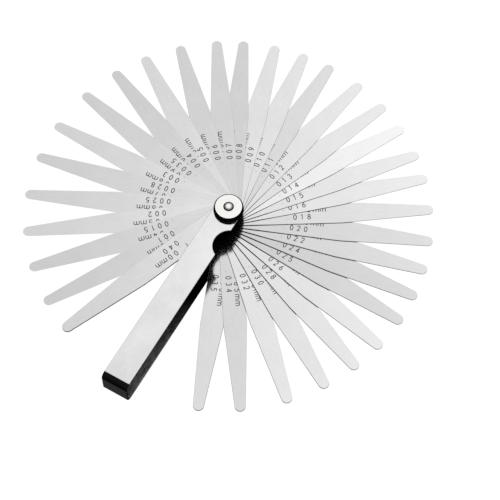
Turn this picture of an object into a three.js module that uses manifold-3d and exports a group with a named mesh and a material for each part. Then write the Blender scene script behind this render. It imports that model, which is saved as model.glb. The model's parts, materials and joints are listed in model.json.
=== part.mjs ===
// Feeler gauge: a folded steel case and a full fan of thickness blades, all on one pivot screw.
// Millimetres, +Z up. The origin is on the pivot axis, at the underside of the screw's head.
// The case points along -Y, and the blades stand spread round the pivot, clockwise seen from above.

import * as THREE from "three";
import { mergeVertices } from "three/addons/utils/BufferGeometryUtils.js";
import Module from "manifold-3d";

const wasm = await Module();
wasm.setup();

// ---------------------------------------------------------------- driving dimensions

const MM_PER_THOU = 0.0254;
const GAP = 0.02; // running gap between one stacked piece and the next

const SCREW_DIAMETER = 5;
const HEAD_DIAMETER = 10;
const HEAD_HEIGHT = 1.4;
const HEAD_CHAMFER = 0.4;
const SCREW_END_FLAT = 2.6; // diameter of the flat on the screw's rounded top end
const SCREW_END_RISE = 0.9; // height of that rounding
const SCREW_STANDS_PROUD = 0.5; // above the nut
const RUNNING_BORE = 5.3; // hole in each blade, each leaf of the case, the washer and the nut

const CASE_WIDTH = 12.8;
const CASE_LENGTH = 99.1; // pivot axis to the outside of the far end
const CASE_SHEET = 0.9;
const BEND_RADIUS = 2.8; // outside of the bends at the far end
const NOTCH_RADIUS = 7.9; // thumb notch in one long side, through both leaves
const NOTCH_ALONG = 15.9; // its centre, along the case from the pivot
const NOTCH_ACROSS = 10; // its centre, out from the case's middle line

const BLADE_WIDTH = 10.6;
const BLADE_REACH = 94.4; // pivot axis to tip
const BLADE_ROOT_RADIUS = 5.6; // about the pivot axis
const BLADE_TAPER_START = 52.5; // where the sides begin to close in
const BLADE_TIP_RADIUS = 2.45;

const WASHER_DIAMETER = 14;
const WASHER_HEIGHT = 0.4;
const NUT_DIAMETER = 13.6;
const NUT_HEIGHT = 2.35;
const NUT_CHAMFER = 0.5;
const NUT_COUNTERSINK = 0.12;

// Every blade from the top of the stack down: its thickness in thousandths of an inch, and how far
// round from the case it is spread, in degrees clockwise seen from above.
const BLADES = [
  { thou: 40, spread: 20.5 },
  { thou: 1, spread: 30.5 },
  { thou: 1.5, spread: 42 },
  { thou: 2, spread: 53.5 },
  { thou: 2.5, spread: 65.5 },
  { thou: 2.8, spread: 78 },
  { thou: 3, spread: 89.5 },
  { thou: 3.5, spread: 102.5 },
  { thou: 4, spread: 114 },
  { thou: 5, spread: 124 },
  { thou: 6, spread: 135 },
  { thou: 7, spread: 146 },
  { thou: 8, spread: 154 },
  { thou: 9, spread: 163.5 },
  { thou: 10, spread: 172.5 },
  { thou: 11, spread: 181 },
  { thou: 12, spread: 191.5 },
  { thou: 13, spread: 201.5 },
  { thou: 14, spread: 210.5 },
  { thou: 15, spread: 220 },
  { thou: 16, spread: 228 },
  { thou: 18, spread: 238 },
  { thou: 20, spread: 248 },
  { thou: 22, spread: 257 },
  { thou: 24, spread: 265.5 },
  { thou: 25, spread: 274 },
  { thou: 26, spread: 283.5 },
  { thou: 28, spread: 292.5 },
  { thou: 30, spread: 302.5 },
  { thou: 32, spread: 313.5 },
  { thou: 34, spread: 326.5 },
  { thou: 35, spread: 338 },
];

// Facets
const ROUND_SEGMENTS = 48;
const BLADE_ARC_SEGMENTS = 16;
const BEND_SEGMENTS = 8;

// ---------------------------------------------------------------- heights, from the base up

const stackHeight = BLADES.reduce((sum, blade) => sum + blade.thou * MM_PER_THOU + GAP, -GAP);
const lowerLeafZ = HEAD_HEIGHT + GAP;
const stackZ = lowerLeafZ + CASE_SHEET + GAP;
const upperLeafZ = stackZ + stackHeight + GAP;
const caseTopZ = upperLeafZ + CASE_SHEET;
const washerZ = caseTopZ + GAP;
const nutZ = washerZ + WASHER_HEIGHT + GAP;
const screwTopZ = nutZ + NUT_HEIGHT + SCREW_STANDS_PROUD;

// ---------------------------------------------------------------- materials

const steel = (color, roughness) =>
  new THREE.MeshStandardMaterial({ color, roughness, metalness: 1 });

const caseSteel = steel(0xd9d8d9, 0.22);
const fastenerSteel = steel(0xe6e4de, 0.18);
const washerSteel = steel(0xcfcfcd, 0.25);
const bladeSteel = steel(0xd2d3d5, 0.2);

// ---------------------------------------------------------------- shape helpers

function toSolid(geometry) {
  const bare = geometry.clone();
  bare.deleteAttribute("normal");
  bare.deleteAttribute("uv");
  const merged = mergeVertices(bare, 1e-4);
  return new wasm.Manifold(
    new wasm.Mesh({
      numProp: 3,
      vertProperties: merged.attributes.position.array,
      triVerts: new Uint32Array(merged.index.array),
    }),
  );
}

function toGeometry(solid) {
  const { vertProperties, triVerts } = solid.getMesh();
  const geometry = new THREE.BufferGeometry();
  geometry.setAttribute("position", new THREE.BufferAttribute(vertProperties, 3));
  geometry.setIndex(new THREE.BufferAttribute(triVerts, 1));
  const flat = geometry.toNonIndexed();
  flat.computeVertexNormals();
  return flat;
}

// An upright prism of an outline drawn in X and Y.
function prism(shape, height, arcSegments) {
  return new THREE.ExtrudeGeometry(shape, {
    depth: height,
    bevelEnabled: false,
    curveSegments: arcSegments / 2, // an arc gets two facets for each of these
  });
}

// A profile of [radius, height] points turned about Z. It runs up the outside.
function turned(profile) {
  const points = profile.map(([radius, height]) => new THREE.Vector2(radius, height));
  return new THREE.LatheGeometry(points, ROUND_SEGMENTS).rotateX(Math.PI / 2);
}

function named(name, geometry, material, z = 0) {
  const mesh = new THREE.Mesh(geometry, material);
  mesh.name = name;
  mesh.position.z = z;
  return mesh;
}

// ---------------------------------------------------------------- case

// The strip seen from the side, in Y and Z: a leaf above, a wall at the far end and a leaf below.
function caseStrip() {
  const pivotEnd = CASE_WIDTH;
  const bendY = -CASE_LENGTH + BEND_RADIUS;
  const innerRadius = BEND_RADIUS - CASE_SHEET;
  const upperBendZ = caseTopZ - BEND_RADIUS;
  const lowerBendZ = lowerLeafZ + BEND_RADIUS;
  const side = new THREE.Shape();
  side.moveTo(pivotEnd, caseTopZ);
  side.lineTo(bendY, caseTopZ);
  side.absarc(bendY, upperBendZ, BEND_RADIUS, Math.PI / 2, Math.PI, false);
  side.absarc(bendY, lowerBendZ, BEND_RADIUS, Math.PI, 1.5 * Math.PI, false);
  side.lineTo(pivotEnd, lowerLeafZ);
  side.lineTo(pivotEnd, lowerLeafZ + CASE_SHEET);
  side.lineTo(bendY, lowerLeafZ + CASE_SHEET);
  side.absarc(bendY, lowerBendZ, innerRadius, 1.5 * Math.PI, Math.PI, true);
  side.absarc(bendY, upperBendZ, innerRadius, Math.PI, Math.PI / 2, true);
  side.lineTo(pivotEnd, upperLeafZ);
  const acrossX = new THREE.Matrix4().makeBasis(
    new THREE.Vector3(0, 1, 0),
    new THREE.Vector3(0, 0, 1),
    new THREE.Vector3(1, 0, 0),
  );
  const width = 2 * CASE_WIDTH;
  const strip = prism(side, width, BEND_SEGMENTS).applyMatrix4(acrossX);
  return toSolid(strip.translate(-width / 2, 0, 0));
}

// The strip's plan: straight sides, a round end about the pivot, the pivot hole and the notch.
function casePlan() {
  const half = CASE_WIDTH / 2;
  const outline = new THREE.Shape();
  outline.absarc(0, 0, half, 0, Math.PI, false);
  outline.lineTo(-half, -CASE_LENGTH - 1);
  outline.lineTo(half, -CASE_LENGTH - 1);
  const hole = new THREE.Path();
  hole.absarc(0, 0, RUNNING_BORE / 2, 0, 2 * Math.PI, true);
  outline.holes.push(hole);
  const circle = new THREE.Shape();
  circle.absarc(NOTCH_ACROSS, -NOTCH_ALONG, NOTCH_RADIUS, 0, 2 * Math.PI, false);
  const height = caseTopZ + 1;
  const notch = toSolid(prism(circle, height, ROUND_SEGMENTS));
  return toSolid(prism(outline, height, ROUND_SEGMENTS)).subtract(notch);
}

function makeCase() {
  return named("case", toGeometry(caseStrip().intersect(casePlan())), caseSteel);
}

// ---------------------------------------------------------------- screw, washer and nut

function makeScrew() {
  const head = HEAD_DIAMETER / 2;
  const shank = SCREW_DIAMETER / 2;
  const flat = SCREW_END_FLAT / 2;
  const roundingZ = screwTopZ - SCREW_END_RISE;
  const rounding = [30, 60, 90].map((degrees) => {
    const angle = THREE.MathUtils.degToRad(degrees);
    const radius = flat + (shank - flat) * Math.cos(angle);
    return [radius, roundingZ + SCREW_END_RISE * Math.sin(angle)];
  });
  const profile = [
    [0, 0],
    [head - HEAD_CHAMFER, 0],
    [head, HEAD_CHAMFER],
    [head, HEAD_HEIGHT],
    [shank, HEAD_HEIGHT],
    [shank, roundingZ],
    ...rounding,
    [0, screwTopZ],
  ];
  return named("pivot_screw", turned(profile), fastenerSteel);
}

function makeWasher() {
  const inner = RUNNING_BORE / 2;
  const outer = WASHER_DIAMETER / 2;
  const profile = [
    [inner, 0],
    [outer, 0],
    [outer, WASHER_HEIGHT],
    [inner, WASHER_HEIGHT],
    [inner, 0],
  ];
  return named("nut_washer", turned(profile), washerSteel, washerZ);
}

function makeNut() {
  const inner = RUNNING_BORE / 2;
  const outer = NUT_DIAMETER / 2;
  const profile = [
    [inner, 0],
    [outer - NUT_CHAMFER / 2, 0],
    [outer, NUT_CHAMFER / 2],
    [outer, NUT_HEIGHT - NUT_CHAMFER],
    [outer - NUT_CHAMFER, NUT_HEIGHT],
    [inner + NUT_COUNTERSINK, NUT_HEIGHT],
    [inner, NUT_HEIGHT - NUT_COUNTERSINK],
    [inner, 0],
  ];
  return named("thumb_nut", turned(profile), fastenerSteel, nutZ);
}

// ---------------------------------------------------------------- blades

// A blade's outline, pointing along +X from the pivot: a round root, parallel sides, then a
// straight taper that runs into the round tip.
function bladeOutline() {
  const half = BLADE_WIDTH / 2;
  const rootAngle = Math.PI - Math.asin(half / BLADE_ROOT_RADIUS);
  const tipCentre = BLADE_REACH - BLADE_TIP_RADIUS;
  const run = tipCentre - BLADE_TAPER_START;
  const taper = Math.atan2(half, run) - Math.asin(BLADE_TIP_RADIUS / Math.hypot(run, half));
  const tipAngle = Math.PI / 2 - taper;
  const outline = new THREE.Shape();
  outline.absarc(0, 0, BLADE_ROOT_RADIUS, rootAngle, 2 * Math.PI - rootAngle, false);
  outline.lineTo(BLADE_TAPER_START, -half);
  outline.absarc(tipCentre, 0, BLADE_TIP_RADIUS, -tipAngle, tipAngle, false);
  outline.lineTo(BLADE_TAPER_START, half);
  const hole = new THREE.Path();
  hole.absarc(0, 0, RUNNING_BORE / 2, 0, 2 * Math.PI, true);
  outline.holes.push(hole);
  return outline;
}

// Blades are named by their size, such as blade_40_thou and blade_1_5_thou.
function makeBlades() {
  const outline = bladeOutline();
  let topZ = upperLeafZ - GAP;
  return BLADES.map(({ thou, spread }) => {
    const thickness = thou * MM_PER_THOU;
    const name = `blade_${String(thou).replace(".", "_")}_thou`;
    const geometry = prism(outline, thickness, BLADE_ARC_SEGMENTS);
    const mesh = named(name, geometry, bladeSteel, topZ - thickness);
    mesh.rotation.z = THREE.MathUtils.degToRad(-90 - spread);
    topZ -= thickness + GAP;
    return mesh;
  });
}

// ---------------------------------------------------------------- the assembly

const feelerGauge = new THREE.Group();
feelerGauge.name = "feeler_gauge";
feelerGauge.add(makeCase(), makeScrew(), makeWasher(), makeNut(), ...makeBlades());

export default feelerGauge;
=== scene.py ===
"""A feeler gauge, spread open on a pale floor: its visible pieces and their finishes, round the CAD frame.

Metres, in the CAD frame: the pivot stands on Z, and the case lies along -Y.
"""

import json
import math

import bmesh
import bpy
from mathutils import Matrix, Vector
from mathutils.geometry import delaunay_2d_cdt


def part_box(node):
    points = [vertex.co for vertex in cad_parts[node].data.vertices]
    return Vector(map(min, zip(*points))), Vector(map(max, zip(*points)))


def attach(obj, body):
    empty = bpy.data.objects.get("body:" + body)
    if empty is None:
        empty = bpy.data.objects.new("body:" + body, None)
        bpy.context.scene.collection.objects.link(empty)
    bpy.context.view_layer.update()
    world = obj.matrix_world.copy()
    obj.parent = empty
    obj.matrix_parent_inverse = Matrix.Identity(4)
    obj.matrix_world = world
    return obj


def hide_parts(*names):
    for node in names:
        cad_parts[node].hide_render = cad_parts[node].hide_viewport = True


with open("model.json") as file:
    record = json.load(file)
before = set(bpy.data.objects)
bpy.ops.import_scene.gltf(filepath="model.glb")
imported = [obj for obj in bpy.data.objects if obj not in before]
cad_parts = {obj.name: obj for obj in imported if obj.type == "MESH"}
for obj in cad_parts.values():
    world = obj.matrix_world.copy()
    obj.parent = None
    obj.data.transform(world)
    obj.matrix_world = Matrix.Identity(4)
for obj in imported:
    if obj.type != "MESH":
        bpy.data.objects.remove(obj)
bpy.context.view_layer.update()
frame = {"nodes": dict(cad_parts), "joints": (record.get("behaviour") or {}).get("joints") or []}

MM = 0.001

# ---------------------------------------------------------------- sizes that the frame doesn't give

BORE_RADIUS = 2.65 * MM  # in the blades, the case and the washer

BLADE_TAPER_START = 52.5 * MM
BLADE_TIP_RADIUS = 2.45 * MM
BLADE_EDGE_BREAK = 0.08 * MM  # bevel along a thick blade's edges
THIN_EDGE_SHARE = 0.25  # of the thickness, on a thin blade

CASE_EDGE_BREAK = 0.14 * MM
CASE_INNER_BEND = 1.9 * MM
CASE_CLEARANCE = 0.02 * MM  # between each leaf and the stack of blades
FLAT_BEFORE_BEND = 1 * MM  # the leaf's last strip, which keeps the bend's shading off the rest
NOTCH_RADIUS = 7.9 * MM
NOTCH_ALONG = 15.9 * MM
NOTCH_ACROSS = 10 * MM

NUT_CHAMFER = 0.5 * MM
NUT_COUNTERSINK = 0.07 * MM
NUT_BORE_RADIUS = 2.38 * MM
NUT_DARK_RIM = 0.66 * MM  # how far the side's near-black painted shade reaches in over the chamfer
KNURL_TEETH = 64
KNURL_DEPTH = 0.13 * MM
NUT_CORNER = 0.05 * MM  # how much its corners and the washer's are rounded
WASHER_RIM_DEPTH = 0.04 * MM  # of the near-black painted shade round the washer

SCREW_RADIUS = 2.5 * MM
THREAD_RADIUS = 2.28 * MM  # from the case's top up
SCREW_HEAD_HEIGHT = 1.4 * MM
SCREW_HEAD_CHAMFER = 0.4 * MM
SCREW_LEAD_IN = 1.2 * MM  # the height of the steep taper at its free end
SCREW_END_RADIUS = 1.9 * MM
SCREW_END_FLAT = 1.25 * MM  # radius
SCREW_END_RISE = 0.15 * MM
SCREW_CORNER = 0.08 * MM
BESIDE_AXIS = 0.1 * MM  # its end faces stop here while corners are rounded, and then go on to the axis

# How many steps a round stretch is cut into.
HOLE_STEPS = 48
BLADE_ROOT_STEPS = 40
BLADE_TIP_STEPS = 28
CASE_END_STEPS = 48
NOTCH_STEPS = 40
BEND_STEPS = 16
STEPS_PER_TOOTH = 6
WASHER_STEPS = 128
SCREW_STEPS = 96

# Painted shade darkens what is near the pivot, where the blades, the case and the nut shade each other.
# Each pair says how far from the axis a surface stays black, and where the painted shade has gone.
PAINTED_SHADE_EDGES = (9.5 * MM, 14.25 * MM)
PAINTED_SHADE_BEVELS = (14 * MM, 22 * MM)
PAINTED_SHADE_UNDERSIDES = (15 * MM, 30 * MM)
PAINTED_SHADE_CASE = (40 * MM, 68 * MM)
PAINTED_SHADE_FACES = 6.8 * MM  # where the painted shade on the faces of the blades high in the stack has gone
PAINTED_SHADE_BLACK_SHARE = 0.7  # of that reach stays black
PAINTED_SHADE_SPREAD = 0.3  # how much further the painted shade reaches at the bottom of the stack
PAINTED_SHADE_SPREAD_POWER = 8  # the higher, the nearer the bottom that starts
PAINTED_SHADE_TONE = 0.002  # the share of a colour that it leaves

# Markings: two rows of thin figures that read outwards from the pivot, as far apart as typed ones.
FIGURE_HEIGHT = 2.5 * MM
FIGURE_STROKE = 0.37 * MM
FIGURE_PITCH = 3.25 * MM
FIRST_FIGURE = 25.75 * MM  # its middle, from the pivot axis
INCH_LINE = -3.05 * MM
METRIC_LINE = 0.675 * MM
THIN_BLADE = 0.4 * MM  # a thinner blade's rows stand nearer its edge
THIN_BLADE_DROP = 0.85 * MM  # by this much at most, and the millimetre row half as far

# Finishes, floor and light.
CLOUD_SCALE = 90
GRAIN_BUMP = 0.25
FLOOR_HALF_WIDTH = 8
FLOOR_GLOW = 1.08
FLOOR_GLOW_SHARE = 0.93
FLOOR_DROP = 0.05 * MM
SOFT_BOX_WIDTH = 0.9
SOFT_BOX_POWER = 2.0
SOFT_BOX_PLACE = Vector((-0.5, 0.7, 1.1))

# Camera, turned from the frame's axes by its azimuth.
CAMERA_AZIMUTH = 30.1
CAMERA_ELEVATION = 63
CAMERA_DISTANCE = 783 * MM
CAMERA_TARGET = Vector((18.71, -12.76, 15.16)) * MM
CAMERA_LENS = 124.4

# The millimetre size marked on each blade, by its thickness in thousandths of an inch.
METRIC_MARKS = {
    "1": "0.03", "1_5": "0.04", "2": "0.05", "2_5": "0.06", "2_8": "0.07", "3": "0.08",
    "3_5": "0.09", "4": "0.10", "5": "0.13", "6": "0.15", "7": "0.18", "8": "0.20",
    "9": "0.23", "10": "0.25", "11": "0.28", "12": "0.30", "13": "0.33", "14": "0.35",
    "15": "0.38", "16": "0.40", "18": "0.45", "20": "0.50", "22": "0.55", "24": "0.60",
    "25": "0.63", "26": "0.65", "28": "0.70", "30": "0.75", "32": "0.80", "34": "0.85",
    "35": "0.90", "40": "1.00",
}

# Strips that came out duller or brighter than the rest, by the same sizes.
STRIP_TONES = {
    "1": 0.96, "1_5": 0.98, "2": 1.06, "2_5": 1.03, "3": 1.03, "3_5": 0.97, "4": 0.93, "6": 0.91,
    "7": 0.90, "8": 0.87, "11": 0.92, "14": 1.10, "18": 0.93, "20": 0.87, "22": 0.88, "24": 0.83,
    "25": 0.85, "32": 1.04, "34": 0.93, "40": 1.03,
}

# How much further from the pivot some blades were marked than the rest, in millimetres.
MARK_SHIFTS = {
    "1": -1, "2": 0.5, "2_5": -1, "2_8": -1, "3_5": -1.5, "4": -0.5, "5": 0.5, "8": 0.5,
    "10": -0.5, "11": -1, "12": -1, "13": -1, "14": -0.5, "15": -0.5, "16": -0.5, "18": 1.5,
    "20": 0.5, "22": 0.5, "24": 0.5, "26": -0.5, "28": 0.5, "35": -0.5,
}

# How much lower the millimetre row stands on a few blades.
METRIC_DROPS = {"1": 0.6, "5": 0.5, "11": 0.3}


# ---------------------------------------------------------------- small helpers

def arc(centre, radius, start, end, steps, stretch=1.0):
    """Points on an arc, both ends included, angles in degrees; stretch makes it an upright ellipse."""
    points = []
    for i in range(steps + 1):
        angle = math.radians(start + (end - start) * i / steps)
        across, up = radius * math.cos(angle), radius * stretch * math.sin(angle)
        points.append((centre[0] + across, centre[1] + up))
    return points


def circle(centre, radius, steps, stretch=1.0):
    return arc(centre, radius, 0, 360 - 360 / steps, steps - 1, stretch)


def object_from(name, mesh_builder, materials, smooth_below=30):
    """Makes an object of a bmesh, with soft shading between faces that meet at a small angle."""
    mesh = bpy.data.meshes.new(name)
    bmesh.ops.recalc_face_normals(mesh_builder, faces=mesh_builder.faces)
    mesh_builder.to_mesh(mesh)
    mesh_builder.free()
    for material in materials:
        mesh.materials.append(material)
    mesh.shade_smooth()
    mesh.set_sharp_from_angle(angle=math.radians(smooth_below))
    made = bpy.data.objects.new(name, mesh)
    bpy.context.scene.collection.objects.link(made)
    return made


# ---------------------------------------------------------------- flat plates with broken edges

# The order of a plate's materials. The case has no marks, and its bends take their place.
FACE, MARK, EDGE, BEVEL, UNDERSIDE = range(5)
BEND = MARK


def flat_face(builder, outer, holes, height, material, marks=(), creases=()):
    """Fills the space between outer and holes at that height. Marks are (loop, counter or None) pairs."""
    points, edges, faces = [], [], []

    def add_loop(loop):
        first = len(points)
        points.extend(Vector(p) / MM for p in loop)
        ring = list(range(first, len(points)))
        edges.extend((a, b) for a, b in zip(ring, ring[1:] + ring[:1]))
        faces.append(ring)
        return len(faces) - 1

    add_loop(outer)
    hole_ids = {add_loop(hole) for hole in holes}
    mark_ids = [(add_loop(loop), None if counter is None else add_loop(counter)) for loop, counter in marks]
    for start, end in creases:
        points.extend((Vector(start) / MM, Vector(end) / MM))
        edges.append((len(points) - 2, len(points) - 1))

    made_points, _, made_faces, _, _, sources = delaunay_2d_cdt(points, edges, faces, 1, 1e-5, True)
    verts = [builder.verts.new((p.x * MM, p.y * MM, height)) for p in made_points]
    for face, source in zip(made_faces, sources):
        source = set(source)
        if 0 not in source or source & hole_ids:
            continue
        marked = any(loop in source and counter not in source for loop, counter in mark_ids)
        builder.faces.new([verts[i] for i in face]).material_index = MARK if marked else material


def bridge(builder, lower, upper, material):
    """Joins two rings of the same number of (x, y, z) points with quads."""
    low = [builder.verts.new(p) for p in lower]
    high = [builder.verts.new(p) for p in upper]
    for i in range(len(low)):
        j = (i + 1) % len(low)
        builder.faces.new((low[i], low[j], high[j], high[i])).material_index = material


def plate(loops, thickness, edge_break, marks=(), creases=()):
    """A plate from 0 up to its thickness. loops(inset) gives the outer loop and then the holes' loops."""
    builder = bmesh.new()
    full, inset = loops(0), loops(edge_break)
    levels = [
        (inset, 0),
        (full, edge_break),
        (full, thickness - edge_break),
        (inset, thickness),
    ]
    bands = zip(levels, levels[1:], (UNDERSIDE, EDGE, BEVEL))
    for (low_loops, low_z), (high_loops, high_z), material in bands:
        for low, high in zip(low_loops, high_loops):
            lower, upper = [(x, y, low_z) for x, y in low], [(x, y, high_z) for x, y in high]
            bridge(builder, lower, upper, material)
    flat_face(builder, inset[0], inset[1:], 0, UNDERSIDE, creases=creases)
    flat_face(builder, inset[0], inset[1:], thickness, FACE, marks=marks, creases=creases)
    bmesh.ops.remove_doubles(builder, verts=builder.verts, dist=edge_break / 20)
    return builder


# ---------------------------------------------------------------- figures

def figure_strokes(character):
    """The strokes of a figure one unit high, centred on x = 0: (points, closed) pairs."""
    if character == "0":
        return [(circle((0, 0.5), 0.25, 28, 2), True)]
    if character == "1":
        return [([(-0.17, 0.8), (0.03, 1), (0.03, 0)], False)]
    if character == "2":
        bowl = arc((0, 0.73), 0.25, 170, -30, 14, 1.08)
        return [(bowl + [(-0.24, 0), (0.26, 0)], False)]
    if character == "3":
        upper = arc((-0.02, 0.76), 0.22, 150, -90, 12, 1.09)
        lower = arc((-0.02, 0.27), 0.25, 84, -150, 14, 1.04)
        return [(upper, False), (lower, False)]
    if character == "4":
        return [([(0.12, 0), (0.12, 1)], False), ([(0.12, 1), (-0.27, 0.3), (0.27, 0.3)], False)]
    if character == "5":
        bowl = arc((-0.02, 0.32), 0.27, 130, -148, 16, 1.15)
        return [([(0.22, 1), (-0.16, 1)] + bowl, False)]
    if character in "69":
        turn = 1 if character == "6" else -1
        bowl = circle((0, 0.29), 0.25, 22, 1.16)
        stem = [(0.16, 1), (-0.03, 0.82), (-0.18, 0.58), (-0.25, 0.32)]
        return [
            ([(turn * x, 0.5 + turn * (y - 0.5)) for x, y in bowl], True),
            ([(turn * x, 0.5 + turn * (y - 0.5)) for x, y in stem], False),
        ]
    if character == "7":
        return [([(-0.25, 1), (0.25, 1), (-0.08, 0)], False)]
    if character == "8":
        upper = circle((0, 0.76), 0.2, 20, 1.2)
        lower = circle((0, 0.265), 0.25, 24, 1.06)
        return [(upper, True), (lower, True)]
    if character == "m":
        legs = [([(-0.48, 0), (-0.48, 0.5)] + arc((-0.24, 0.5), 0.24, 180, 0, 8)[1:] + [(0, 0)], False)]
        return legs + [([(0, 0.5)] + arc((0.24, 0.5), 0.24, 180, 0, 8)[1:] + [(0.48, 0)], False)]
    point = circle((0, 0.05), 0.01, 8)
    return [(point, False)]


def stroke_loops(points, closed, half):
    """The outline of a line of that half width: (outer loop, inner loop or None), counter-clockwise."""
    count = len(points)

    def side(i, sign):
        before = points[i - 1] if closed or i > 0 else points[i]
        after = points[(i + 1) % count] if closed or i < count - 1 else points[i]
        here = Vector(points[i])
        into = (here - Vector(before)).normalized() if before != points[i] else None
        out = (Vector(after) - here).normalized() if after != points[i] else None
        into, out = into or out, out or into
        along = (into + out).normalized()
        normal = Vector((-along.y, along.x))
        reach = half / max(0.5, along.dot(into))
        return tuple(here + normal * reach * sign)

    left = [side(i, 1) for i in range(count)]
    right = [side(i, -1) for i in range(count)]
    if closed:
        return right, left
    return right + left[::-1], None


def text_marks(text, start, line):
    """The mark loops of a row of figures. start is the middle of the first one, along the row."""
    loops = []
    for place, character in enumerate(text):
        middle = start + place * FIGURE_PITCH
        for points, closed in figure_strokes(character):
            placed = [(middle + x * FIGURE_HEIGHT, line + y * FIGURE_HEIGHT) for x, y in points]
            loops.append(stroke_loops(placed, closed, FIGURE_STROKE / 2))
    return loops


# ---------------------------------------------------------------- materials

def new_material(name):
    """A new material, its links, its nodes and its shader."""
    material = bpy.data.materials.new(name)
    material.use_nodes = True
    nodes = material.node_tree.nodes
    return material, material.node_tree.links, nodes, nodes["Principled BSDF"]


def noise(nodes, links, vector, scale, stretch, detail):
    """Noise in the object's own coordinates, drawn out by a different scale along each axis."""
    mapping = nodes.new("ShaderNodeMapping")
    mapping.inputs["Scale"].default_value = stretch
    links.new(vector, mapping.inputs["Vector"])
    texture = nodes.new("ShaderNodeTexNoise")
    texture.inputs["Scale"].default_value = scale
    texture.inputs["Detail"].default_value = detail
    links.new(mapping.outputs["Vector"], texture.inputs["Vector"])
    return texture.outputs["Fac"]


def ramp(nodes, links, value, low, high, from_low=0.3, from_high=0.7):
    """Goes from low to high as the value goes from from_low to from_high, and stays level outside them."""
    node = nodes.new("ShaderNodeMapRange")
    node.inputs["From Min"].default_value = from_low
    node.inputs["From Max"].default_value = from_high
    node.inputs["To Min"].default_value = low
    node.inputs["To Max"].default_value = high
    links.new(value, node.inputs["Value"])
    return node.outputs["Result"]


def distance_from_axis(nodes, links, place):
    """How far a point is from the object's own Z axis."""
    flat = nodes.new("ShaderNodeVectorMath")
    flat.operation = "MULTIPLY"
    flat.inputs[1].default_value = (1, 1, 0)
    links.new(place, flat.inputs[0])
    length = nodes.new("ShaderNodeVectorMath")
    length.operation = "LENGTH"
    links.new(flat.outputs["Vector"], length.inputs[0])
    return length.outputs["Value"]


def steel(name, colour, roughness, grain_stretch=(1, 1, 1), grain_scale=1500, grain_depth=0.005 * MM,
          cloud=0.04, tone=1.0, grain_tone=0.03, round_grain=False, painted_shade_near_axis=None, dull_at_grazing=False):
    """Steel: fine grain along one direction, or in rings round the object's own axis, and faint clouds
    where it has been handled. The pair of distances from that axis makes painted shade: nearly black up to
    the first, and gone at the second. The last flag also takes away the shine at a grazing angle, so that a
    piece painted dark stays dark."""
    material, links, nodes, shader = new_material(name)
    place = nodes.new("ShaderNodeTexCoord").outputs["Object"]
    grain_place = distance_from_axis(nodes, links, place) if round_grain else place
    grain = noise(nodes, links, grain_place, grain_scale, grain_stretch, detail=4)
    clouds = noise(nodes, links, place, CLOUD_SCALE, (1, 1, 1), detail=3)
    value = nodes.new("ShaderNodeMath")
    value.operation = "MULTIPLY"
    links.new(ramp(nodes, links, grain, (1 - grain_tone) * tone, (1 + grain_tone) * tone), value.inputs[0])
    links.new(ramp(nodes, links, clouds, 1 - cloud, 1 + cloud), value.inputs[1])
    # painted shade near the pivot: the colour is scaled down towards the axis
    if painted_shade_near_axis:
        shaded_value = nodes.new("ShaderNodeMath")
        shaded_value.operation = "MULTIPLY"
        reach = distance_from_axis(nodes, links, place)
        links.new(value.outputs["Value"], shaded_value.inputs[0])
        fade = ramp(nodes, links, reach, PAINTED_SHADE_TONE, 1, *painted_shade_near_axis)
        fade.node.interpolation_type = "SMOOTHSTEP"
        links.new(fade, shaded_value.inputs[1])
        value = shaded_value
    tint = nodes.new("ShaderNodeVectorMath")
    tint.operation = "SCALE"
    tint.inputs[0].default_value = colour
    links.new(value.outputs["Value"], tint.inputs["Scale"])
    links.new(tint.outputs["Vector"], shader.inputs["Base Color"])
    shader.inputs["Metallic"].default_value = 1
    if dull_at_grazing:
        shader.inputs["Specular Tint"].default_value = (0, 0, 0, 1)
    rough = nodes.new("ShaderNodeMath")
    rough.operation = "ADD"
    links.new(ramp(nodes, links, grain, 0.8 * roughness, 1.15 * roughness), rough.inputs[0])
    links.new(ramp(nodes, links, clouds, -0.1 * roughness, 0.25 * roughness), rough.inputs[1])
    links.new(rough.outputs["Value"], shader.inputs["Roughness"])
    bump = nodes.new("ShaderNodeBump")
    bump.inputs["Strength"].default_value = GRAIN_BUMP
    bump.inputs["Distance"].default_value = grain_depth
    links.new(grain, bump.inputs["Height"])
    links.new(bump.outputs["Normal"], shader.inputs["Normal"])
    return material


def marking():
    """Etched figures: dull dark grey, a little uneven."""
    material, links, nodes, shader = new_material("etched_marking")
    place = nodes.new("ShaderNodeTexCoord").outputs["Object"]
    speckle = noise(nodes, links, place, 2500, (1, 1, 1), detail=2)
    tint = nodes.new("ShaderNodeVectorMath")
    tint.operation = "SCALE"
    tint.inputs[0].default_value = (0.02, 0.02, 0.022)
    links.new(ramp(nodes, links, speckle, 0.6, 1.6), tint.inputs["Scale"])
    links.new(tint.outputs["Vector"], shader.inputs["Base Color"])
    shader.inputs["Roughness"].default_value = 0.6
    return material


# ---------------------------------------------------------------- blades

def blade_loops(reach, root_radius, half_width):
    """A function of the inset that gives a blade's outline, pointing along +X, and its pivot hole."""
    tip_centre = reach - BLADE_TIP_RADIUS
    run = tip_centre - BLADE_TAPER_START
    taper = math.atan2(half_width, run) - math.asin(BLADE_TIP_RADIUS / math.hypot(run, half_width))
    tip_angle = 90 - math.degrees(taper)

    def loops(inset):
        root, half = root_radius - inset, half_width - inset
        corner = 180 - math.degrees(math.asin(half / root))
        outline = arc((0, 0), root, corner, 360 - corner, BLADE_ROOT_STEPS)
        outline.append((BLADE_TAPER_START, -half))
        outline += arc((tip_centre, 0), BLADE_TIP_RADIUS - inset, -tip_angle, tip_angle, BLADE_TIP_STEPS)
        outline.append((BLADE_TAPER_START, half))
        return [outline, circle((0, 0), BORE_RADIUS + inset, HOLE_STEPS)]

    return loops


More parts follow.
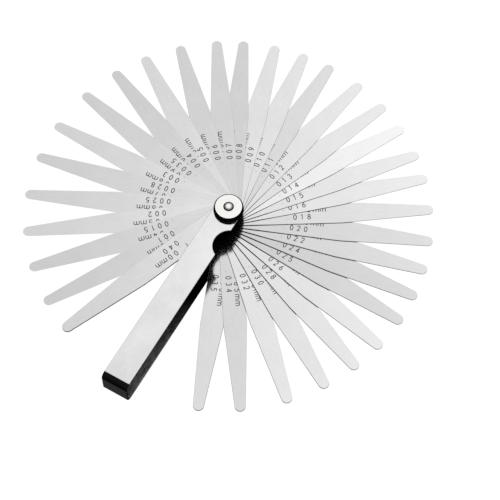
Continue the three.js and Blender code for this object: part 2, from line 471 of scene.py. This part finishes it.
def blade_shape(node, direction):
    """Reach, root radius and half width of a CAD blade that points in that direction."""
    along = Vector((math.cos(direction), math.sin(direction), 0))
    across = Vector((-along.y, along.x, 0))
    places = [vertex.co for vertex in frame["nodes"][node].data.vertices]
    run = [place.dot(along) for place in places]
    return max(run), -min(run), max(place.dot(across) for place in places)


def rows_of_marks(size, thickness):
    """The mark loops of a blade: its size in inches and, closer to its middle, in millimetres."""
    whole, _, part = size.partition("_")
    inches = "." + whole.zfill(3) + part
    start = FIRST_FIGURE + MARK_SHIFTS.get(size, 0) * MM
    drop = THIN_BLADE_DROP * max(0, 1 - thickness / THIN_BLADE)
    metric_line = METRIC_LINE - drop / 2 - METRIC_DROPS.get(size, 0) * MM
    marks = text_marks(inches, start, INCH_LINE - drop)
    return marks + text_marks(METRIC_MARKS[size] + "mm", start, metric_line)


def make_blades(ink, edge_steel_painted_dark):
    # Bevels, undersides and faces are painted nearly black near the pivot: painted shade where the blades
    # and the case shade each other, reaching further on the blades low in the stack.
    bevel_steel = steel("edge_bevel", (0.8, 0.8, 0.8), 0.2, painted_shade_near_axis=PAINTED_SHADE_BEVELS, dull_at_grazing=True)
    underside = steel("blade_underside", (0.8, 0.8, 0.8), 0.2, painted_shade_near_axis=PAINTED_SHADE_UNDERSIDES, dull_at_grazing=True)
    swings = [joint for joint in frame["joints"] if joint["name"].startswith("swing_")]
    for index, joint in enumerate(swings):
        depth = index / (len(swings) - 1)  # 0 at the top of the stack, 1 at the bottom
        shaded_reach = PAINTED_SHADE_FACES * (1 + PAINTED_SHADE_SPREAD * depth ** PAINTED_SHADE_SPREAD_POWER)
        node = joint["child"]
        size = node.removeprefix("blade_").removesuffix("_thou")
        direction = math.radians(-90 - joint["range_deg"][1])
        low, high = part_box(node)
        thickness = high.z - low.z
        loops = blade_loops(*blade_shape(node, direction))
        edge = min(BLADE_EDGE_BREAK, thickness * THIN_EDGE_SHARE)
        finish = steel(
            f"blade_steel_{size}", (0.8, 0.8, 0.8), 0.12, (0.08, 1, 1), 2600, 0.02 * MM,
            cloud=0.02, tone=STRIP_TONES.get(size, 1),
            painted_shade_near_axis=(PAINTED_SHADE_BLACK_SHARE * shaded_reach, shaded_reach),
        )
        shape = plate(loops, thickness, edge, marks=rows_of_marks(size, thickness))
        blade = object_from(f"gauge_{node}", shape, [finish, ink, edge_steel_painted_dark, bevel_steel, underside])
        blade.rotation_euler.z = direction
        blade.location.z = low.z
        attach(blade, node)
        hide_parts(node)


# ---------------------------------------------------------------- case

def make_case(edge_steel_painted_dark):
    low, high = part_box("case")
    half_width = (high.x - low.x) / 2
    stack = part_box("blade_40_thou")[1].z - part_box("blade_35_thou")[0].z
    sheet = (high.z - low.z - stack) / 2 - CASE_CLEARANCE
    outer_bend = CASE_INNER_BEND + sheet
    leaf = -low.y - outer_bend  # pivot axis to the start of the bend
    middle_bend = CASE_INNER_BEND + sheet / 2
    bend = middle_bend * math.pi / 2
    wall = high.z - low.z - 2 * outer_bend
    total = 2 * leaf + 2 * bend + wall  # of the flat strip, from pivot hole to pivot hole
    folds = [leaf - FLAT_BEFORE_BEND]
    folds += [leaf + bend * i / BEND_STEPS for i in range(BEND_STEPS + 1)]
    folds += [total - fold for fold in reversed(folds)]

    def notch(inset, at):
        """The notch's points in the right-hand side, going along the strip."""
        radius = NOTCH_RADIUS + inset
        side = NOTCH_ACROSS - (half_width - inset)
        spread = math.degrees(math.acos(side / radius))
        return arc((NOTCH_ACROSS, at), radius, 180 + spread, 180 - spread, NOTCH_STEPS)

    def loops(inset):
        """The flat strip: X across, Y along it from the upper leaf's pivot hole to the lower leaf's."""
        half = half_width - inset
        right = [(half, fold) for fold in folds]
        outline = arc((0, 0), half, 180, 360, CASE_END_STEPS)
        outline += notch(inset, NOTCH_ALONG) + right + notch(inset, total - NOTCH_ALONG)
        outline += arc((0, total), half, 0, 180, CASE_END_STEPS)
        outline += [(-x, y) for x, y in reversed(right)]
        holes = [circle((0, y), BORE_RADIUS + inset, HOLE_STEPS) for y in (0, total)]
        return [outline, *holes]

    def folded(point):
        """Where a point of the flat strip goes. Its Z is its height over the strip's inner side."""
        x, along, height = point
        flipped = along > total / 2
        if flipped:
            along = total - along
        radius = CASE_INNER_BEND + height
        if along <= leaf:
            y, drop = -along, -height
        elif along <= leaf + bend:
            angle = (along - leaf) / middle_bend
            y = -leaf - radius * math.sin(angle)
            drop = CASE_INNER_BEND - radius * math.cos(angle)
        else:
            y, drop = -leaf - radius, CASE_INNER_BEND + along - leaf - bend
        z = low.z + sheet + drop if flipped else high.z - sheet - drop
        return x, y, z

    inset_half = half_width - CASE_EDGE_BREAK
    creases = [((-inset_half, fold), (inset_half, fold)) for fold in folds]
    builder = plate(loops, sheet, CASE_EDGE_BREAK, creases=creases)
    for face in builder.faces:
        along = face.calc_center_median().y
        if leaf < min(along, total - along) < leaf + bend and face.material_index in (FACE, BEVEL):
            face.material_index = BEND
    for vertex in builder.verts:
        vertex.co = folded(vertex.co)
    finish = steel("case_steel", (0.9, 0.9, 0.905), 0.13, (1, 0.45, 1), 900, cloud=0.045, grain_tone=0.015)
    # The bends are painted nearly black: painted shade for the dark reflections of the bent strip.
    bend_painted_dark = steel("case_bend_painted_dark", (0.012, 0.012, 0.012), 0.25, cloud=0.1, dull_at_grazing=True)
    # The edge break is a darker copy of the case steel: painted shade along the leaf's edges.
    bevel = steel("case_bevel_painted_darker", (0.42, 0.42, 0.42), 0.2, cloud=0.1)
    # The inner side is a dark, mottled copy of the case steel, nearly black towards the pivot: painted
    # shade inside the case, under the upper leaf.
    inside = steel(
        "case_inside_painted_shade", (0.31, 0.31, 0.31), 0.35, (1, 0.3, 1), 900, 0.01 * MM,
        cloud=0.25, grain_tone=0.1, painted_shade_near_axis=PAINTED_SHADE_CASE,
    )
    case = object_from("folded_case", builder, [finish, bend_painted_dark, edge_steel_painted_dark, bevel, inside])
    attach(case, "case")
    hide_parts("case")


# ---------------------------------------------------------------- turned pieces

def turned(profile, steps, radius_at=lambda radius, angle: radius, finish_of=lambda start, end: 0):
    """Turns a closed profile of (radius, height) points about Z. Points on the axis become one point.
    finish_of gives the index of the material on the band between two points."""
    builder = bmesh.new()
    rings = []
    for radius, height in profile:
        ring = []
        for i in range(steps):
            angle = 2 * math.pi * i / steps
            r = radius_at(radius, angle)
            ring.append(builder.verts.new((r * math.cos(angle), r * math.sin(angle), height)))
        rings.append(ring)
    for place in range(len(profile)):
        following = (place + 1) % len(profile)
        first, second = rings[place], rings[following]
        material = finish_of(profile[place], profile[following])
        for i in range(steps):
            j = (i + 1) % steps
            builder.faces.new((first[i], first[j], second[j], second[i])).material_index = material
    bmesh.ops.remove_doubles(builder, verts=builder.verts, dist=0.0001 * MM)
    return builder


def softened(profile, soft):
    """Rounds the corners of a closed profile a little, and keeps the shading flat between them. A corner
    becomes two points on each of its sides, soft and three times soft from it, or less on a short side."""
    made = []
    for before, here, after in zip(profile[-1:] + profile[:-1], profile, profile[1:] + profile[:1]):
        here = Vector(here)
        into, out = Vector(before) - here, Vector(after) - here
        for side, reach in ((into, 3), (into, 1), (out, 1), (out, 3)):
            made.append(tuple(here + side.normalized() * min(reach * soft, side.length * reach / 7)))
    return made


def make_nut():
    low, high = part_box("thumb_nut")
    radius = high.x
    profile = softened([
        (NUT_BORE_RADIUS, low.z),
        (radius - NUT_CHAMFER / 2, low.z),
        (radius, low.z + NUT_CHAMFER / 2),
        (radius, high.z - NUT_CHAMFER),
        (radius - NUT_CHAMFER, high.z),
        (NUT_BORE_RADIUS + NUT_COUNTERSINK, high.z),
        (NUT_BORE_RADIUS, high.z - NUT_COUNTERSINK),
    ], NUT_CORNER)

    def knurled(at_radius, angle):
        groove = radius - KNURL_DEPTH * (0.5 - 0.5 * math.cos(KNURL_TEETH * angle))
        return min(at_radius, groove)

    face = steel(
        "nut_steel", (1.0, 0.99, 0.965), 0.08, grain_scale=1100, grain_depth=0.004 * MM,
        cloud=0.01, grain_tone=0.08, round_grain=True,
    )
    # The knurled side, the outer chamfer and the bore are painted nearly black: painted shade for the dark
    # reflections of the upright side.
    side = steel("nut_knurl_painted_black", (0.006, 0.006, 0.006), 0.4, grain_depth=0.01 * MM, cloud=0.1, dull_at_grazing=True)

    def finish_of(start, end):
        """1 for the dark side and bore, and 0 for the rest."""
        on_side = min(start[0], end[0]) > radius - NUT_DARK_RIM
        in_bore = max(start[0], end[0]) < NUT_BORE_RADIUS + NUT_COUNTERSINK
        return int(on_side or in_bore)

    shape = turned(profile, KNURL_TEETH * STEPS_PER_TOOTH, knurled, finish_of)
    nut = object_from("knurled_nut", shape, [face, side], 40)
    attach(nut, "thumb_nut")
    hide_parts("thumb_nut")


def make_washer():
    low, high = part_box("nut_washer")
    corners = [(BORE_RADIUS, low.z), (high.x, low.z), (high.x, high.z), (BORE_RADIUS, high.z)]
    # The washer is painted nearly black, and its rim blacker still: painted shade under the nut.
    finish = steel("washer_steel", (0.02, 0.02, 0.02), 0.3, dull_at_grazing=True)
    rim = steel("washer_rim_painted_black", (0.006, 0.006, 0.006), 0.4, dull_at_grazing=True)

    def finish_of(start, end):
        """1 for the rim, and 0 for the rest."""
        return int(min(start[0], end[0]) > high.x - WASHER_RIM_DEPTH)

    shape = turned(softened(corners, NUT_CORNER), WASHER_STEPS, finish_of=finish_of)
    washer = object_from("plain_washer", shape, [finish, rim], 50)
    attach(washer, "nut_washer")
    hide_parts("nut_washer")


def make_screw():
    low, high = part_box("pivot_screw")
    head = high.x
    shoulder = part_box("case")[1].z
    profile = softened([
        (BESIDE_AXIS, low.z),
        (head - SCREW_HEAD_CHAMFER, low.z),
        (head, low.z + SCREW_HEAD_CHAMFER),
        (head, SCREW_HEAD_HEIGHT),
        (SCREW_RADIUS, SCREW_HEAD_HEIGHT),
        (SCREW_RADIUS, shoulder),
        (THREAD_RADIUS, shoulder),
        (THREAD_RADIUS, high.z - SCREW_LEAD_IN),
        (SCREW_END_RADIUS, high.z - SCREW_END_RISE),
        (SCREW_END_FLAT, high.z),
        (BESIDE_AXIS, high.z),
    ], SCREW_CORNER)
    profile = [(0 if radius < 1.5 * BESIDE_AXIS else radius, height) for radius, height in profile]

    def finish_of(start, end):
        """2 for the shank and the thread, 1 for the rounding of the free end, and 0 for the rest."""
        lower, outer = min(start[1], end[1]), max(start[0], end[0])
        if SCREW_HEAD_HEIGHT < lower < high.z - SCREW_END_RISE:
            return 2
        return int(lower > SCREW_HEAD_HEIGHT and outer > SCREW_END_FLAT)

    finish = steel("screw_steel", (1.0, 0.99, 0.98), 0.1, round_grain=True)
    # The rounding of the free end is painted grey and the thread nearly black: painted shade round the
    # screw's end.
    rounding = steel("screw_rounding_painted_grey", (0.38, 0.38, 0.38), 0.25, cloud=0.1)
    thread = steel("thread_painted_black", (0.01, 0.01, 0.01), 0.3, dull_at_grazing=True)
    shape = turned(profile, SCREW_STEPS, finish_of=finish_of)
    screw = object_from("screw", shape, [finish, rounding, thread], 50)
    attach(screw, "case")
    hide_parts("pivot_screw")


# ---------------------------------------------------------------- floor, light and camera

def make_floor():
    """A plain white floor under the object, lit evenly, with a hint of a contact shadow."""
    mesh = bpy.data.meshes.new("floor")
    builder = bmesh.new()
    bmesh.ops.create_grid(builder, x_segments=1, y_segments=1, size=FLOOR_HALF_WIDTH)
    builder.to_mesh(mesh)
    builder.free()
    floor = bpy.data.objects.new("floor", mesh)
    bpy.context.scene.collection.objects.link(floor)
    material, links, nodes, shader = new_material("pale_floor")
    shader.inputs["Base Color"].default_value = (0.9, 0.9, 0.9, 1)
    shader.inputs["Roughness"].default_value = 1
    shader.inputs["Specular IOR Level"].default_value = 0
    glow = nodes.new("ShaderNodeEmission")
    glow.inputs["Color"].default_value = (1, 1, 1, 1)
    glow.inputs["Strength"].default_value = FLOOR_GLOW
    mix = nodes.new("ShaderNodeMixShader")
    mix.inputs["Fac"].default_value = FLOOR_GLOW_SHARE
    links.new(shader.outputs["BSDF"], mix.inputs[1])
    links.new(glow.outputs["Emission"], mix.inputs[2])
    links.new(mix.outputs["Shader"], nodes["Material Output"].inputs["Surface"])
    mesh.materials.append(material)
    floor.location.z = -FLOOR_DROP
    floor.visible_glossy = False


def make_world():
    """A soft white sky, brighter just to the camera's right and dimmer further right and behind the
    camera. Under the horizon is a grey band that fades to black straight below."""
    world = bpy.data.worlds.new("studio")
    bpy.context.scene.world = world
    world.use_nodes = True
    nodes, links = world.node_tree.nodes, world.node_tree.links
    background = nodes["Background"]
    direction = nodes.new("ShaderNodeTexCoord").outputs["Generated"]

    def along(degrees):
        """How far the direction points along a horizontal one, at that angle from the camera's right."""
        turned_by = math.radians(CAMERA_AZIMUTH + degrees)
        dot = nodes.new("ShaderNodeVectorMath")
        dot.operation = "DOT_PRODUCT"
        dot.inputs[1].default_value = (math.cos(turned_by), math.sin(turned_by), 0)
        links.new(direction, dot.inputs[0])
        return dot.outputs["Value"]

    def combined(operation, first, second):
        node = nodes.new("ShaderNodeMath")
        node.operation = operation
        links.new(first, node.inputs[0])
        links.new(second, node.inputs[1])
        return node.outputs["Value"]

    axes = nodes.new("ShaderNodeSeparateXYZ")
    links.new(direction, axes.inputs["Vector"])
    up = axes.outputs["Z"]
    height = ramp(nodes, links, up, low=0.04, high=1.0, from_low=0.06, from_high=0.28)
    sideways = ramp(nodes, links, along(0), low=0.74, high=1.12, from_low=-0.13, from_high=0.13)
    far_right = ramp(nodes, links, along(0), low=1, high=0.75, from_low=0.2, from_high=0.5)
    behind = ramp(nodes, links, along(-90), low=1, high=0.75, from_low=0.1, from_high=0.35)
    dimming = combined("MULTIPLY", sideways, combined("MULTIPLY", far_right, behind))
    sky = combined("MULTIPLY", height, dimming)
    above_black = ramp(nodes, links, up, low=0, high=0.55, from_low=-0.7, from_high=-0.5)
    below_horizon = ramp(nodes, links, up, low=1, high=0, from_low=-0.12, from_high=0)
    band = combined("MULTIPLY", above_black, below_horizon)
    links.new(combined("ADD", sky, band), background.inputs["Strength"])
    background.inputs["Color"].default_value = (1, 1, 1, 1)


def make_light():
    """One large soft box over the object."""
    data = bpy.data.lights.new("soft_box", "AREA")
    data.shape = "SQUARE"
    data.size = SOFT_BOX_WIDTH
    data.energy = SOFT_BOX_POWER
    lamp = bpy.data.objects.new("soft_box", data)
    bpy.context.scene.collection.objects.link(lamp)
    lamp.location = SOFT_BOX_PLACE
    lamp.rotation_euler = (-SOFT_BOX_PLACE).to_track_quat("-Z", "Y").to_euler()
    lamp.visible_glossy = False


def make_camera():
    azimuth, elevation = math.radians(CAMERA_AZIMUTH), math.radians(CAMERA_ELEVATION)
    back = Vector((
        math.sin(azimuth) * math.cos(elevation),
        -math.cos(azimuth) * math.cos(elevation),
        math.sin(elevation),
    ))
    data = bpy.data.cameras.new("camera")
    data.lens = CAMERA_LENS
    data.clip_start, data.clip_end = 0.05, 50
    camera = bpy.data.objects.new("camera", data)
    bpy.context.scene.collection.objects.link(camera)
    camera.location = CAMERA_TARGET + back * CAMERA_DISTANCE
    camera.rotation_euler = (-back).to_track_quat("-Z", "Y").to_euler()
    bpy.context.scene.camera = camera


# ---------------------------------------------------------------- the scene

make_camera()
make_floor()
make_world()
make_light()
# The upright edges of the blades and the case are painted dark grey, nearly black near the pivot: painted
# shade for the dark reflections they show.
edge_steel_painted_dark = steel(
    "sheared_edge_painted_dark", (0.07, 0.07, 0.07), 0.3, grain_depth=0.01 * MM,
    cloud=0.1, painted_shade_near_axis=PAINTED_SHADE_EDGES, dull_at_grazing=True,
)
make_case(edge_steel_painted_dark)
make_screw()
make_washer()
make_nut()
make_blades(marking(), edge_steel_painted_dark)
bpy.context.scene.view_settings.view_transform = "Standard"
